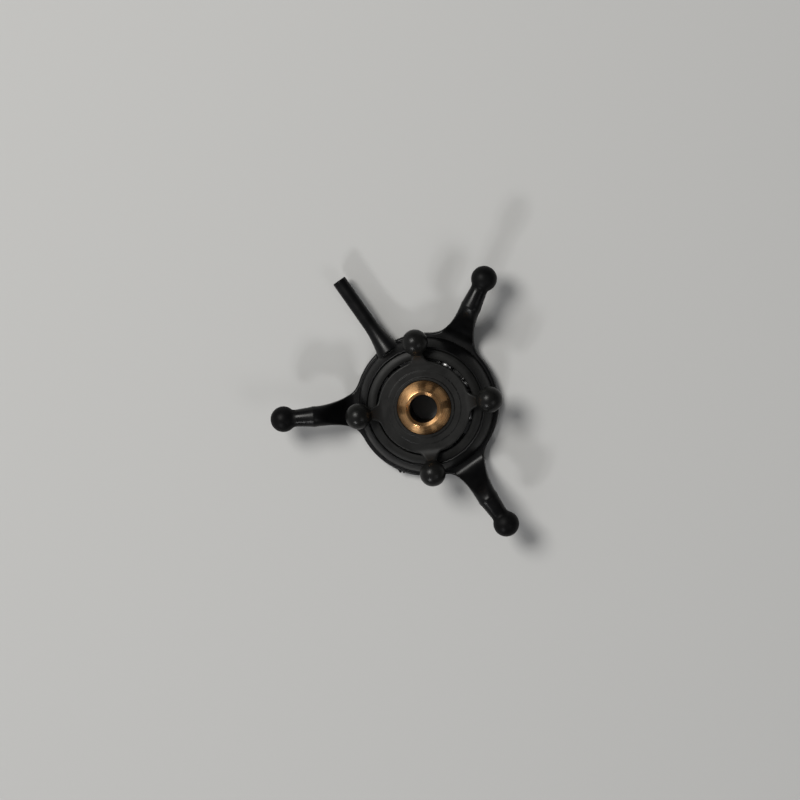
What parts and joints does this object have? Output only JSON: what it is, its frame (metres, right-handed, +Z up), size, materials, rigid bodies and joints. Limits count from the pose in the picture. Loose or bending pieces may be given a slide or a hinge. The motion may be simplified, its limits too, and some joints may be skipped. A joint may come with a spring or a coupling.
{
  "type": "helicopter swashplate",
  "caption": "Small moulded helicopter swashplate: still outer ring with cranked servo arms and a guide pin, rotating star on a ball bearing, and a brass ball for the shaft.",
  "frame": {"origin": "centre of the brass ball, on the rotor shaft's axis", "axes": "+Z up the rotor shaft, towards the rotor head; +Y along the anti-rotation pin, away from the shaft"},
  "size_m": [0.0494, 0.056, 0.0109],
  "materials": {
    "ring_plastic": "moulded black fibre-filled nylon, satin",
    "star_plastic": "moulded black fibre-filled nylon, satin",
    "brass": "turned, with fine marks round the axis",
    "race_steel": "ground",
    "ball_steel": "polished",
    "cage_steel": "pressed sheet, oiled"
  },
  "bodies": {
    "ring": {"outer_ring": "ring_plastic", "bearing_retainer": "ring_plastic", "bearing_outer_race": "race_steel"},
    "star": {"rotating_star": "star_plastic", "bearing_inner_race": "race_steel", "socket_cap": "star_plastic"},
    "cage": {"cage_upper": "cage_steel", "cage_lower": "cage_steel", "cage_rivets": "cage_steel", "bearing_ball_01": "ball_steel", "bearing_ball_02": "ball_steel", "bearing_ball_03": "ball_steel", "bearing_ball_04": "ball_steel", "bearing_ball_05": "ball_steel", "bearing_ball_06": "ball_steel", "bearing_ball_07": "ball_steel", "bearing_ball_08": "ball_steel", "bearing_ball_09": "ball_steel", "bearing_ball_10": "ball_steel"},
    "ball": {"center_ball": "brass"}
  },
  "joints": [
    {"name": "star_spin", "type": "hinge", "parent": "ring", "child": "star", "pos_m": [0, 0, 0], "axis": [0, 0, 1], "continuous": true},
    {"name": "cage_spin", "type": "hinge", "parent": "ring", "child": "cage", "pos_m": [0, 0, 0], "axis": [0, 0, 1], "continuous": true},
    {"name": "ball_tilt", "type": "hinge", "parent": "star", "child": "ball", "pos_m": [0, 0, 0], "axis": [0, 1, 0], "range_deg": [-15, 15]}
  ],
  "couplings": [
    {"joint": "cage_spin", "follows": "star_spin", "ratio": 0.4277}
  ]
}
